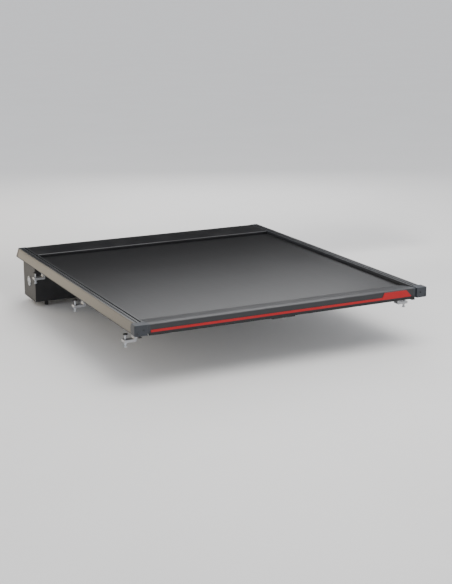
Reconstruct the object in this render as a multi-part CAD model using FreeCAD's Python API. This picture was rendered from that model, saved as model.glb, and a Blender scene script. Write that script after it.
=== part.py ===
import FreeCAD, Part
import math
import os

# Retractable roller cover for a pickup bed, in millimetres.
# X is to the right, Y runs from the tail end towards the cab and Z is up.
# The origin is the middle of the tail end, on the plane of the bed rim that the rails sit on.

Vector = FreeCAD.Vector

# Overall sizes
overall_width = 1412.0        # over the rear caps
overall_length = 1590.0       # rear cap face to bulkhead seal
rail_height = 45.0            # rail top above the bed rim

# Rails
rail_width = 53.0             # inner wall to outer edge of the foot
rail_lean = 13.0              # how far the outer wall leans in at the top
rail_wall = 3.0
rail_rib = 2.5                # thinner inner ribs
seat_width = 31.0             # part of the foot that sits on the bed rim
seal_thickness = 3.0
skirt_depth = 22.0            # flange that hangs inside the rim
ledge_reach = 12.0            # ledge at the foot of the skirt, gripped by the clamps
slot_mouth = 8.0              # accessory T-slot
slot_pocket = 16.0
slot_pocket_height = 8.0
slot_lip = 3.5
slot_inset = 11.0             # T-slot centre from the inner wall
groove_width = 5.0            # second, plain groove
groove_depth = 6.0
groove_inset = 27.5
shadow_line = 1.5             # fine groove under the top outer edge
cap_proud = 3.0               # rear cap outside the rail foot
cap_depth = 45.0
front_cap_depth = 20.0
cap_gap = 0.3                 # plugs in hollows

# Curtain
curtain_drop = 16.0           # rail top to curtain top
skin_thickness = 1.0
slat_thickness = 8.0
slat_wall = 1.0
slat_pitch_wanted = 41.0
bead_radius = 2.4
socket_play = 0.4
neck_half = 0.8
channel_depth = 14.0
channel_play = 0.5            # curtain to liner, above and below
liner_thickness = 1.5
guide_end_play = 1.0
guide_plug = 15.0

# Canister
canister_depth = 187.0        # fore and aft, outside
canister_floor = 200.0        # below the bed rim
sheet = 2.0
end_plate_thickness = 5.0
bulkhead_seal_thickness = 6.0
lid_thickness = 3.0
lid_side_gap = 1.0
lip_height = 10.0
lip_depth = 8.0
drum_radius = 30.0
drum_wall = 3.0
coil_radius = 80.0            # room kept for the rolled curtain
floor_clearance = 10.0        # coil to canister floor
roller_radius = 15.0
roller_setback = 24.0         # roller axis from the canister's rear face
leader_thickness = 1.5
shaft_radius = 7.0
running_gap = 0.05            # turning and sliding fits
body_gap = 0.3                # between pieces that pass each other

# Tail bar
bar_depth = 121.0
bar_rear = 7.0                # rear face of the bar from the tail end
bar_top = 43.0
bar_bottom = 4.0
bar_wall = 3.0
bar_flat = 27.0               # level part of the top, then it slopes to the curtain
bar_lip = 15.0                # inward lips at the bottom
bar_nose = 8.0                # thin nose over the edge of the skin
shoe_thickness = 12.0
shoe_gap = 2.0                # end shoe to rail
stop_gap = 9.0                # open bar to canister lip
accent_height = 10.0
accent_thickness = 1.8
label_thickness = 2.2
label_length = 160.0
seal_height = 14.0

# Latch
latch_travel = 14.0
latch_turn = 60.0             # degrees of handle for that travel
latch_from_rear = 53.0        # latch line from the bar's rear face
tongue_width = 16.0
tongue_height = 6.0
tongue_play = 0.5
rod_radius = 4.0
cam_radius = 42.0
cam_thickness = 4.0
cam_start = 20.0              # pin radius on the cam when the tongues are in
cam_pin_radius = 2.5
cam_play = 0.3
striker_length = 30.0
spring_length = 40.0

# Clamps
clamp_width = 30.0
rim_gap = 28.0                # bed rim thickness that the clamps take
clamp_bolt_radius = 4.0
clamp_end_gap = 150.0

# Derived places
rail_inner = overall_width / 2 - cap_proud - rail_width
rail_outer = rail_inner + rail_width
seat_inner = rail_outer - seat_width
skin_top = rail_height - curtain_drop
slat_top = skin_top - skin_thickness
slat_bottom = slat_top - slat_thickness
slat_middle = (slat_top + slat_bottom) / 2
channel_low = slat_bottom - channel_play - liner_thickness
channel_high = skin_top + channel_play + liner_thickness
channel_back = rail_inner + channel_depth
guide_reach = channel_back - liner_thickness - guide_end_play
slat_half = rail_inner + 4.0
rail_foot = seal_thickness
chamber_low = rail_foot + rail_wall
chamber_high = channel_low - rail_rib
chamber_out = seat_inner - rail_wall
hollow_top = rail_height - groove_depth - rail_rib
canister_front = overall_length - bulkhead_seal_thickness
canister_rear = canister_front - canister_depth
plate_outer = seat_inner - rail_wall
plate_inner = plate_outer - end_plate_thickness
roller_y = canister_rear + roller_setback
roller_z = slat_bottom - roller_radius
drum_y = (canister_rear + canister_front) / 2
drum_z = -canister_floor + sheet + floor_clearance + coil_radius
drum_half = plate_inner - 22.0
bar_front = bar_rear + bar_depth
bar_wall_front = bar_front - bar_nose
bar_half = rail_inner - shoe_gap - shoe_thickness
first_bead = bar_front + 3.0
last_bead = canister_rear + 5.0
slat_count = round((last_bead - first_bead) / slat_pitch_wanted)
slat_pitch = (last_bead - first_bead) / slat_count
travel = canister_rear - bar_front - stop_gap
latch_y = bar_rear + latch_from_rear
latch_z = (chamber_low + chamber_high) / 2
latch_stations = [latch_y + travel * step / 3 for step in range(4)]
clamp_stations = [clamp_end_gap, (clamp_end_gap + canister_rear) / 2 - 20.0, canister_rear - 67.0]
rail_start = cap_depth
rail_end = overall_length - front_cap_depth


def along(axis, a, b, c):
    """Point at a and b across an axis and c along it."""
    if axis == "x":
        return Vector(c, a, b)
    if axis == "y":
        return Vector(a, c, b)
    return Vector(a, b, c)


def outline(axis, station, points):
    """Closed wire across an axis; a third number on a point is its corner radius."""
    corners = [Vector(p[0], p[1], 0) for p in points]
    radii = [p[2] if len(p) > 2 else 0.0 for p in points]
    count = len(corners)
    starts, mids, ends = [], [], []
    for i, corner in enumerate(corners):
        back = (corners[i - 1] - corner).normalize()
        ahead = (corners[(i + 1) % count] - corner).normalize()
        half = back.getAngle(ahead) / 2
        run = radii[i] / math.tan(half)
        starts.append(corner + back * run)
        ends.append(corner + ahead * run)
        mids.append(corner + (back + ahead).normalize() * (radii[i] / math.sin(half) - radii[i]))
    edges = []
    for i in range(count):
        if radii[i] > 0:
            arc = [along(axis, v.x, v.y, station) for v in (starts[i], mids[i], ends[i])]
            edges.append(Part.Arc(*arc).toShape())
        first, last = ends[i], starts[(i + 1) % count]
        if first.distanceToPoint(last) > 1e-6:
            edges.append(Part.makeLine(along(axis, first.x, first.y, station),
                                       along(axis, last.x, last.y, station)))
    return Part.Wire(Part.__sortEdges__(edges))


def prism(axis, low, high, points):
    """Outline carried along an axis from low to high."""
    face = Part.Face(outline(axis, low, points))
    return face.extrude(along(axis, 0, 0, high - low))


def block(x, y, z):
    """Box from three (low, high) pairs."""
    return Part.makeBox(x[1] - x[0], y[1] - y[0], z[1] - z[0], Vector(x[0], y[0], z[0]))


def round_bar(axis, a, b, low, high, radius, bore=0.0):
    """Cylinder along an axis, or a tube when it has a bore."""
    base = along(axis, a, b, low)
    way = along(axis, 0, 0, 1)
    bar = Part.makeCylinder(radius, high - low, base, way)
    if bore > 0:
        bar = bar.cut(Part.makeCylinder(bore, high - low, base, way))
    return bar


def hole(axis, a, b, low, high, radius):
    """Cutter for a round hole, a little longer than the wall it goes through."""
    return round_bar(axis, a, b, low - 1, high + 1, radius)


def hexagon(axis, a, b, low, high, across):
    """Hexagonal prism, across the flats."""
    corner = across / math.sqrt(3)
    points = []
    for step in range(6):
        turn = math.radians(60 * step)
        points.append((a + corner * math.cos(turn), b + corner * math.sin(turn)))
    return prism(axis, low, high, points)


def screw(axis, a, b, seat, head_way, length, radius, head_radius, head_height, hexed=False):
    """Screw whose head sits on a seat; head_way is +1 or -1 along the axis."""
    tip = seat - head_way * length
    top = seat + head_way * head_height
    shank = round_bar(axis, a, b, min(tip, seat), max(tip, seat), radius)
    low, high = min(seat, top), max(seat, top)
    if hexed:
        return shank.fuse(hexagon(axis, a, b, low, high, head_radius * 2)).removeSplitter()
    head = round_bar(axis, a, b, low, high, head_radius)
    socket_depth = head_height * 0.6
    socket = hexagon(axis, a, b, top - socket_depth, top + 1, head_radius * 0.9)
    if head_way < 0:
        socket = hexagon(axis, a, b, top - 1, top + socket_depth, head_radius * 0.9)
    return shank.fuse(head).removeSplitter().cut(socket)


def other_side(shape):
    """Mirror image across the middle plane."""
    return shape.mirror(Vector(0, 0, 0), Vector(1, 0, 0))


def both(shapes):
    """Shapes of the right side and their mirror images."""
    return [shape for right in shapes for shape in (right, other_side(right))]


def save(name, shapes):
    """Write one node, from one solid or a list of separate solids."""
    if isinstance(shapes, list):
        shapes = Part.makeCompound(shapes)
    shapes.exportStep("parts/" + name + ".step")


def outer_wall(z):
    """X of the rail's leaning outer face at a height."""
    return rail_outer - rail_lean * (z - rail_foot) / (rail_height - rail_foot)


# ---------------------------------------------------------------- rails

cap_screw_radius = 2.0
port_radius = 2.1             # screw ports in the extrusions
port_wall = 3.0
upper_port = (channel_back + 4.0, slat_middle)
lower_port = (outer_wall(chamber_low) - rail_wall - 4.6, chamber_low + 4.6)
canister_bolts = [(canister_rear + 55.0, 24.0), (canister_front - 62.0, 24.0)]
canister_bolt_radius = 3.0


def tongue_hole(low, high, station, play):
    """Cutter for a latch tongue's slot through a wall, with play all round."""
    return block((low - 1, high + 1),
                 (station - tongue_width / 2 - play, station + tongue_width / 2 + play),
                 (latch_z - tongue_height / 2 - play, latch_z + tongue_height / 2 + play))


def rail():
    """Right rail extrusion with its channel, T-slot, plain groove, hollows and latch holes."""
    top_groove = rail_height - shadow_line - 1.0
    low_groove = top_groove - shadow_line
    skin = [(rail_inner, rail_height, 1.0), (rail_inner, channel_high), (channel_back, channel_high),
            (channel_back, channel_low), (rail_inner, channel_low), (rail_inner, rail_foot),
            (seat_inner - rail_wall, rail_foot), (seat_inner - rail_wall, rail_wall - skirt_depth),
            (seat_inner - rail_wall - ledge_reach, rail_wall - skirt_depth),
            (seat_inner - rail_wall - ledge_reach, -skirt_depth), (seat_inner, -skirt_depth),
            (seat_inner, rail_foot), (rail_outer, rail_foot, 1.5),
            (outer_wall(low_groove), low_groove), (outer_wall(low_groove) - shadow_line, low_groove),
            (outer_wall(top_groove) - shadow_line, top_groove), (outer_wall(top_groove), top_groove),
            (outer_wall(rail_height), rail_height, 1.0)]
    body = prism("y", rail_start, rail_end, skin)
    slot_x = rail_inner + slot_inset
    groove_x = rail_inner + groove_inset
    roof = rail_height - slot_lip
    whole = (rail_start - 1, rail_end + 1)

    def trough(centre, width, low, high):
        return block((centre - width / 2, centre + width / 2), whole, (low, high))

    cuts = [trough(slot_x, slot_mouth, roof - 1, rail_height + 1),
            trough(slot_x, slot_pocket, roof - slot_pocket_height, roof),
            trough(groove_x, groove_width, rail_height - groove_depth, rail_height + 1),
            block((rail_inner + rail_wall, chamber_out), whole, (chamber_low, chamber_high))]
    outer_low = outer_wall(chamber_low) - rail_wall
    outer_high = outer_wall(hollow_top) - rail_wall
    hollow = prism("y", whole[0], whole[1],
                   [(seat_inner, chamber_low, 1.0), (outer_low, chamber_low, 1.0),
                    (outer_high, hollow_top, 1.0), (seat_inner, hollow_top, 1.0)])
    boss = round_bar("y", *lower_port, whole[0], whole[1], port_radius + port_wall)
    cuts.append(hollow.cut(boss))
    for port in (upper_port, lower_port):
        cuts.append(round_bar("y", *port, whole[0], whole[1], port_radius))
    for station in latch_stations:
        cuts.append(tongue_hole(rail_inner, rail_inner + rail_wall, station, tongue_play))
    cuts.append(block((rail_inner - ledge_reach, plate_outer), (canister_rear - 1, rail_end + 1),
                      (-skirt_depth - 1, channel_high)))
    for y, z in canister_bolts:
        cuts.append(hole("x", y, z, plate_outer, seat_inner, canister_bolt_radius + running_gap))
    for cut in cuts:
        body = body.cut(cut)
    return body.removeSplitter()


def rail_seal():
    """Cellular rubber strip under the foot."""
    return block((seat_inner + 1.0, rail_outer - 1.0), (rail_start, rail_end), (0, seal_thickness))


def guide_liner():
    """C-shaped low-friction strip in the curtain channel."""
    low, high, back = channel_low, channel_high, channel_back
    t = liner_thickness
    front = rail_inner + 0.5
    return prism("y", rail_start + 2.0, canister_rear - 2.0,
                 [(front, low), (back, low), (back, high), (front, high), (front, high - t),
                  (back - t, high - t), (back - t, low + t), (front, low + t)])


def striker(station):
    """Steel keeper plate behind one latch hole."""
    low, high = rail_inner + rail_wall, rail_inner + 2 * rail_wall
    plate = block((low, high), (station - striker_length / 2, station + striker_length / 2),
                  (chamber_low, chamber_high))
    return plate.cut(tongue_hole(low, high, station, tongue_play))


cap_screw_recess = 4.0
cap_screw_head = 3.6
cap_screw_head_height = 2.4
cap_plug_length = 15.0


def small_screw(axis, a, b, seat, head_way, length):
    """The M4 pan-head screw that is used all over the cover."""
    return screw(axis, a, b, seat, head_way, length, cap_screw_radius, cap_screw_head, cap_screw_head_height)


def rear_cap():
    """Moulded block that closes the tail end of the right rail."""
    cap_outer = rail_outer + cap_proud
    section = prism("y", 0, cap_depth, [(rail_inner, 0, 1.0), (cap_outer, 0, 2.0),
                                        (cap_outer, rail_height, 5.0), (rail_inner, rail_height, 1.5)])
    plan = prism("z", -1, rail_height + 1,
                 [(rail_inner, 0, 2.0), (cap_outer, 0, 9.0), (cap_outer, cap_depth),
                  (rail_inner, cap_depth)])
    plug_low = lower_port[1] + port_radius + port_wall + cap_gap
    plug_inner = seat_inner + 2.0
    plug_outer = outer_wall(hollow_top) - rail_wall - 2.0
    plug = block((plug_inner, plug_outer), (cap_depth - 1, cap_depth + cap_plug_length),
                 (plug_low, hollow_top - cap_gap - 1.0))
    cap = section.common(plan).fuse(plug)
    for a, b in (upper_port, lower_port):
        cap = cap.cut(hole("y", a, b, 0, cap_depth, cap_screw_radius + running_gap))
        cap = cap.cut(round_bar("y", a, b, -1, cap_screw_recess, cap_screw_head + body_gap))
    return cap.removeSplitter()


def front_cap():
    """Flat moulded end cap at the cab end of the right rail."""
    start = rail_end
    section = prism("y", start, overall_length,
                    [(plate_outer, 0), (rail_outer, 0, 2.0), (rail_outer, rail_foot + 2.0),
                     (outer_wall(rail_height), rail_height, 2.0), (rail_inner, rail_height, 1.5),
                     (rail_inner, channel_high), (plate_outer, channel_high)])
    through = hole("y", *lower_port, start, overall_length, cap_screw_radius + running_gap)
    recess = round_bar("y", *lower_port, overall_length - cap_screw_recess, overall_length + 1,
                       cap_screw_head + body_gap)
    return section.cut(through).cut(recess)


def cap_screws():
    """Cap screws of the right side, two at the tail and one at the cab end."""
    screws = [small_screw("y", *port, cap_screw_recess, -1, cap_depth + 12.0)
              for port in (upper_port, lower_port)]
    front_seat = overall_length - cap_screw_recess
    screws.append(small_screw("y", *lower_port, front_seat, 1, front_cap_depth + 10.0))
    return screws


# ---------------------------------------------------------------- clamps

arm_top = rail_wall - skirt_depth
arm_height = 8.0
clamp_web = 10.0
clamp_left = seat_inner - rail_wall - ledge_reach - 4.0 - clamp_web
clamp_right = seat_inner + 26.0
clamp_arm_low = -rim_gap - 36.0
clamp_arm_high = -rim_gap - 24.0
clamp_bolt_x = seat_inner + 15.0
pad_thickness = 4.0
pad_radius = 10.0


def clamp_body(station):
    """C-shaped cast clamp: its hook sits on the rail's ledge and its arm reaches under the rim."""
    tip = seat_inner - rail_wall - 0.5
    shape = [(clamp_left, arm_top + arm_height, 3.0), (tip, arm_top + arm_height, 1.5), (tip, arm_top),
             (clamp_left + clamp_web + 2.5, arm_top), (clamp_left + clamp_web + 2.5, arm_top - 6.0, 1.0),
             (clamp_left + clamp_web, arm_top - 6.0), (clamp_left + clamp_web, clamp_arm_high, 5.0),
             (clamp_right, clamp_arm_high, 3.0), (clamp_right, clamp_arm_low, 3.0),
             (clamp_left, clamp_arm_low, 6.0)]
    body = prism("y", station - clamp_width / 2, station + clamp_width / 2, shape)
    return body.cut(hole("z", clamp_bolt_x, station, clamp_arm_low, clamp_arm_high,
                         clamp_bolt_radius + running_gap))


def clamp_bolt(station):
    """Hexagon bolt that pushes the pad up against the rim."""
    head_seat = clamp_arm_low - 14.0
    return screw("z", clamp_bolt_x, station, head_seat, -1, -rim_gap - pad_thickness + 1.5 - head_seat,
                 clamp_bolt_radius, 6.5, 5.5, hexed=True)


def clamp_pad(station):
    """Swivel pad on the tip of the clamp bolt."""
    pad = round_bar("z", clamp_bolt_x, station, -rim_gap - pad_thickness, -rim_gap, pad_radius)
    return pad.cut(round_bar("z", clamp_bolt_x, station, -rim_gap - pad_thickness - 1,
                             -rim_gap - pad_thickness + 1.6, clamp_bolt_radius + running_gap))


def clamp_nut(station):
    """Lock nut under the arm."""
    nut = hexagon("z", clamp_bolt_x, station, clamp_arm_low - 6.5, clamp_arm_low, 13.0)
    return nut.cut(hole("z", clamp_bolt_x, station, clamp_arm_low - 6.5, clamp_arm_low,
                        clamp_bolt_radius + running_gap))


# ---------------------------------------------------------------- curtain

def slat(index):
    """Hollow slat: a socket on its rear edge turns on the bead of the slat behind it."""
    start = first_bead + index * slat_pitch
    z = slat_middle
    socket_in = bead_radius + socket_play
    body_low, body_high = start + socket_in + 0.3, start + slat_pitch - slat_thickness / 2 - 1.5
    body = block((-slat_half, slat_half), (body_low, body_high), (slat_bottom, slat_top))
    hollow = block((-slat_half - 1, slat_half + 1), (body_low + slat_wall + 0.6, body_high - slat_wall),
                   (slat_bottom + slat_wall, slat_top - slat_wall))
    ring = round_bar("x", start, z, -slat_half, slat_half, slat_thickness / 2, socket_in)
    mouth = block((-slat_half - 1, slat_half + 1), (start - slat_thickness, start),
                  (z - neck_half * 2, z + neck_half * 2))
    neck = block((-slat_half, slat_half), (body_high - 0.5, start + slat_pitch),
                 (z - neck_half, z + neck_half))
    bead = round_bar("x", start + slat_pitch, z, -slat_half, slat_half, bead_radius)
    return body.cut(hollow).fuse([ring.cut(mouth), neck, bead]).removeSplitter()


def slat_guide(index):
    """Plastic runner plugged into the right end of a slat."""
    start = first_bead + index * slat_pitch
    socket_in = bead_radius + socket_play
    low, high = start + socket_in + 0.3, start + slat_pitch - slat_thickness / 2 - 1.5
    runner = block((slat_half, guide_reach), (low, high), (slat_bottom, skin_top))
    plug = block((slat_half - guide_plug, slat_half), (low + 2.0, high - 1.4),
                 (slat_bottom + slat_wall + 0.1, slat_top - slat_wall - 0.1))
    return runner.fuse(plug).removeSplitter()


def curtain_skin():
    """Smooth skin bonded on the slats, from under the bar's nose to the leader."""
    return block((-rail_inner - 3.0, rail_inner + 3.0), (bar_wall_front + 1.0, last_bead + 9.0),
                 (slat_top, skin_top))


def tangent_angle(gap_y, gap_z, first_radius, second_radius):
    """Angle of the normal of the line that passes over two circles."""
    reach = math.hypot(gap_y, gap_z)
    return math.atan2(gap_z, gap_y) + math.acos((first_radius - second_radius) / reach)


leader_half = rail_inner - 20.0
leader_wrap = math.radians(300)


def leader():
    """Leader sheet: off the last slat, over the guide roller and most of a turn round the drum."""
    t = leader_thickness
    roll_in, drum_in = roller_radius + body_gap, drum_radius + body_gap
    turn = tangent_angle(drum_y - roller_y, drum_z - roller_z, roll_in, drum_in)
    start = last_bead + 6.0

    def at(centre_y, centre_z, radius, angle):
        return Vector(0, centre_y + radius * math.cos(angle), centre_z + radius * math.sin(angle))

    def side(extra):
        top = math.pi / 2
        first = Vector(0, start, roller_z + roll_in + extra)
        lift = at(roller_y, roller_z, roll_in + extra, top)
        middle = at(roller_y, roller_z, roll_in + extra, (top + turn) / 2)
        leave = at(roller_y, roller_z, roll_in + extra, turn)
        meet = at(drum_y, drum_z, drum_in + extra, turn)
        round_it = at(drum_y, drum_z, drum_in + extra, turn - leader_wrap / 2)
        last = at(drum_y, drum_z, drum_in + extra, turn - leader_wrap)
        edges = [Part.makeLine(first, lift), Part.Arc(lift, middle, leave).toShape(),
                 Part.makeLine(leave, meet), Part.Arc(meet, round_it, last).toShape()]
        return edges, first, last

    inner, inner_first, inner_last = side(0)
    outer, outer_first, outer_last = side(t)
    ends = [Part.makeLine(inner_first, outer_first), Part.makeLine(inner_last, outer_last)]
    edges = inner + outer + ends
    face = Part.Face(Part.Wire(Part.__sortEdges__(edges)))
    face.translate(Vector(-leader_half, 0, 0))
    return face.extrude(Vector(2 * leader_half, 0, 0))


def leader_bar():
    """Last slat's clip bar, with a socket for its bead and a slit for the leader."""
    z = slat_middle
    socket_in = bead_radius + socket_play
    low, high = last_bead + socket_in + 0.3, last_bead + 9.0
    body = block((-leader_half, leader_half), (low, high), (slat_bottom, slat_top))
    ring = round_bar("x", last_bead, z, -leader_half, leader_half, slat_thickness / 2, socket_in)
    mouth = block((-leader_half - 1, leader_half + 1), (last_bead - slat_thickness, last_bead),
                  (z - neck_half * 2, z + neck_half * 2))
    slit_low = roller_z + roller_radius + body_gap - 0.1
    slit = block((-leader_half - 1, leader_half + 1), (last_bead + 5.9, high + 1),
                 (slit_low, slit_low + leader_thickness + 0.2))
    return body.fuse(ring.cut(mouth)).cut(slit).removeSplitter()


# ---------------------------------------------------------------- tail bar

def bar_slope(y):
    """Height of the bar's top at a place fore and aft."""
    nose_top = skin_top + body_gap + 0.9
    flat_end = bar_rear + bar_flat
    if y <= flat_end:
        return bar_top
    return bar_top - (bar_top - nose_top) * (y - flat_end) / (bar_front - flat_end)


bar_ports = [(bar_rear + bar_wall + 4.6, bar_top - bar_wall - 4.6),
             (bar_wall_front - bar_wall - 4.6, bar_slope(bar_wall_front) - bar_wall - 5.4)]
window_half = cam_radius + 12.0


def tail_bar():
    """Extruded pull bar, open below, with a bead for the first slat and screw ports at both ends."""
    rear, front, wall = bar_rear, bar_wall_front, bar_wall
    flat_end = rear + bar_flat
    nose_low = skin_top + body_gap
    inner_front = bar_slope(front - wall) - wall
    section = [(rear, bar_bottom), (rear, bar_top, 5.0), (flat_end, bar_top, 60.0),
               (bar_front, bar_slope(bar_front)), (bar_front, nose_low), (front, nose_low),
               (front, bar_bottom), (front - wall - bar_lip, bar_bottom),
               (front - wall - bar_lip, bar_bottom + wall), (front - wall, bar_bottom + wall),
               (front - wall, inner_front), (flat_end, bar_top - wall, 57.0),
               (rear + wall, bar_top - wall, 2.0), (rear + wall, bar_bottom + wall),
               (rear + wall + bar_lip, bar_bottom + wall), (rear + wall + bar_lip, bar_bottom)]
    body = prism("x", -bar_half, bar_half, section)
    neck = block((-bar_half, bar_half), (front - 0.5, first_bead),
                 (slat_middle - neck_half, slat_middle + neck_half))
    bead = round_bar("x", first_bead, slat_middle, -bar_half, bar_half, bead_radius)
    bosses = [round_bar("x", a, b, -bar_half, bar_half, port_radius + port_wall) for a, b in bar_ports]
    body = body.fuse([neck, bead] + bosses).removeSplitter()
    for a, b in bar_ports:
        body = body.cut(hole("x", a, b, -bar_half, bar_half, port_radius))
    window = block((-window_half, window_half), (rear + wall, front - wall),
                   (bar_bottom - 1, bar_bottom + wall + 1))
    body = body.cut(window)
    for x, y in housing_screw_places():
        body = body.cut(hole("z", x, y, bar_bottom, bar_bottom + wall, cap_screw_radius + running_gap))
    return body


def bar_shoe():
    """Moulded right end of the bar, with a tongue that runs in the rail's channel."""
    low, high = bar_half, bar_half + shoe_thickness
    flat_end = bar_rear + bar_flat
    shoe = prism("x", low, high,
                 [(bar_rear, bar_bottom, 1.5), (bar_rear, bar_top, 5.0), (flat_end, bar_top, 60.0),
                  (bar_wall_front, bar_slope(bar_wall_front), 1.5), (bar_wall_front, bar_bottom, 1.5)])
    tongue = block((high - 1, guide_reach), (cap_depth + 5.0, bar_wall_front - 2.0),
                   (slat_bottom, skin_top))
    shoe = shoe.fuse(tongue).removeSplitter()
    for a, b in bar_ports:
        shoe = shoe.cut(hole("x", a, b, low, high, cap_screw_radius + running_gap))
        shoe = shoe.cut(round_bar("x", a, b, high - cap_screw_recess, high + 1, cap_screw_head + body_gap))
    return shoe.cut(tongue_hole(low, high, latch_y, body_gap))


def shoe_screws():
    """Screws that hold the right shoe on the bar."""
    seat = bar_half + shoe_thickness - cap_screw_recess
    return [small_screw("x", a, b, seat, 1, 24.0) for a, b in bar_ports]


accent_low = bar_bottom + 5.0
accent_high = accent_low + accent_height
label_slant = 16.0
label_taper = 30.0
label_right = bar_half - 10.0
label_top = bar_top - 3.0


def accent_strip():
    """Narrow coloured strip along the bar's rear face."""
    end = label_right - label_length
    lean = label_slant * accent_height / (label_top - accent_low)
    return prism("y", bar_rear - accent_thickness, bar_rear,
                 [(-bar_half + 2.0, accent_low), (end - body_gap, accent_low),
                  (end - body_gap + lean, accent_high), (-bar_half + 2.0, accent_high)])


def label_plate():
    """Plain coloured plate at the right end of the rear face."""
    start = label_right - label_length
    return prism("y", bar_rear - label_thickness, bar_rear,
                 [(start, accent_low, 1.0), (label_right, accent_low, 2.0),
                  (label_right - label_taper, label_top, 4.0), (start + label_slant, label_top, 1.0)])


def tail_seal():
    """Hollow rubber seal under the rear edge, which meets the tailgate."""
    rear, low = bar_rear - 2.5, accent_low - seal_height
    section = [(rear, accent_low, 0.8), (bar_rear, accent_low), (bar_rear, bar_bottom),
               (bar_rear + 10.0, bar_bottom), (bar_rear + 10.0, bar_bottom - 3.0, 1.2),
               (bar_rear + 4.0, low, 2.5), (rear, low + 1.5, 1.5)]
    body = prism("x", -bar_half - 4.0, bar_half + 4.0, section)
    return body.cut(hole("x", bar_rear + 1.6, bar_bottom - 4.0, -bar_half - 4.0, bar_half + 4.0, 2.2))


# ---------------------------------------------------------------- latch

housing_half = 95.0
housing_rear = bar_rear + 11.0
housing_front = bar_wall_front - 1.0
housing_low = bar_bottom - 3.0
hub_radius = 9.0
hub_wall = 6.0
grip_top = accent_low - seal_height - 1.0
grip_bottom = grip_top - 16.0
grip_half = 60.0
grip_width = 24.0
square = 12.0
stud_radius = 4.0
cam_low = bar_bottom + 0.5
cam_high = cam_low + cam_thickness
flat_low = cam_high + 0.5
flat_thickness = 3.5
lock_radius = 8.0
lock_depth = 11.0


def housing_screw_places():
    """Four screws through the housing into the bar's lips."""
    rear = bar_rear + bar_wall + bar_lip - 4.0
    front = bar_wall_front - bar_wall - bar_lip + 4.0
    return [(x, y) for x in (-housing_half + 14.0, housing_half - 14.0) for y in (rear, front)]


def latch_housing():
    """Moulded plate under the bar with a bearing for the handle's hub."""
    plate = prism("z", housing_low, bar_bottom,
                  [(-housing_half, housing_rear, 6.0), (housing_half, housing_rear, 6.0),
                   (housing_half, housing_front, 6.0), (-housing_half, housing_front, 6.0)])
    boss = round_bar("z", 0, latch_y, grip_top + body_gap, housing_low, hub_radius + hub_wall)
    plate = plate.fuse(boss).removeSplitter()
    plate = plate.cut(hole("z", 0, latch_y, grip_top, bar_bottom, hub_radius + running_gap))
    for x, y in housing_screw_places():
        plate = plate.cut(hole("z", x, y, housing_low, bar_bottom, cap_screw_radius + running_gap))
    return plate


def housing_screws():
    """Pan-head screws from below."""
    return [small_screw("z", x, y, housing_low, -1, 12.0) for x, y in housing_screw_places()]


def release_handle():
    """T-grip with hub, square for the cam and a stud for its nut."""
    rear, front = latch_y - grip_width / 2, latch_y + grip_width / 2
    end = grip_width / 2 - 0.1
    plan = prism("z", grip_bottom, grip_top,
                 [(-grip_half, rear, end), (grip_half, rear, end), (grip_half, front, end),
                  (-grip_half, front, end)])
    side = prism("y", rear - 1, front + 1,
                 [(-grip_half, grip_bottom, 5.0), (grip_half, grip_bottom, 5.0),
                  (grip_half, grip_top, 3.0), (-grip_half, grip_top, 3.0)])
    hub = round_bar("z", 0, latch_y, grip_top, cam_low, hub_radius)
    key = block((-square / 2, square / 2), (latch_y - square / 2, latch_y + square / 2),
                (cam_low, cam_high))
    stud = round_bar("z", 0, latch_y, cam_high, cam_high + 8.0, stud_radius)
    handle = plan.common(side).fuse([hub, key, stud]).removeSplitter()
    return handle.cut(round_bar("z", 0, latch_y, grip_bottom - 1, grip_bottom + lock_depth + 0.5,
                                lock_radius + running_gap))


def lock_cylinder():
    """Key barrel in the grip's hub, with a plain keyway."""
    barrel = round_bar("z", 0, latch_y, grip_bottom, grip_bottom + lock_depth, lock_radius)
    rim_top = grip_bottom - body_gap
    rim = round_bar("z", 0, latch_y, rim_top - 2.0, rim_top, lock_radius + 2.5)
    waist = round_bar("z", 0, latch_y, rim_top, grip_bottom, lock_radius)
    keyway = block((-1.2, 1.2), (latch_y - 4.5, latch_y + 4.5), (grip_bottom - 3.0, grip_bottom + 4.0))
    return barrel.fuse([rim, waist]).removeSplitter().cut(keyway)


def cam_slot():
    """Spiral slot whose radius grows evenly with the handle's turn."""
    half = cam_pin_radius + cam_play
    turn = math.radians(latch_turn)
    rate = latch_travel / turn
    steps = 12
    spare = 0.03
    sides = ([], [])
    for step in range(steps + 1):
        angle = -turn * ((1 + 2 * spare) * step / steps - spare)
        radius = cam_start - rate * angle
        way = Vector(-rate * math.cos(angle) - radius * math.sin(angle),
                     -rate * math.sin(angle) + radius * math.cos(angle), 0).normalize()
        across = Vector(-way.y, way.x, 0)
        point = Vector(radius * math.cos(angle), radius * math.sin(angle), 0)
        sides[0].append(point + across * half)
        sides[1].append(point - across * half)
    edges = []
    for side in sides:
        curve = Part.BSplineCurve()
        curve.interpolate(side)
        edges.append(curve.toShape())
    edges.append(Part.makeLine(sides[0][0], sides[1][0]))
    edges.append(Part.makeLine(sides[0][-1], sides[1][-1]))
    face = Part.Face(Part.Wire(Part.__sortEdges__(edges)))
    slot = face.extrude(Vector(0, 0, cam_thickness + 2))
    for side in (0, -1):
        middle = (sides[0][side] + sides[1][side]) * 0.5
        slot = slot.fuse(Part.makeCylinder(half, cam_thickness + 2, middle))
    return slot


def latch_cam():
    """Disc on the handle's square with two spiral slots, half a turn apart."""
    disc = round_bar("z", 0, latch_y, cam_low, cam_high, cam_radius)
    half = square / 2 + running_gap
    disc = disc.cut(block((-half, half), (latch_y - half, latch_y + half), (cam_low - 1, cam_high + 1)))
    for half_turn in (0, 180):
        slot = cam_slot()
        slot.rotate(Vector(0, 0, 0), Vector(0, 0, 1), half_turn)
        slot.translate(Vector(0, latch_y, cam_low - 1))
        disc = disc.cut(slot)
    return disc


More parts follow.
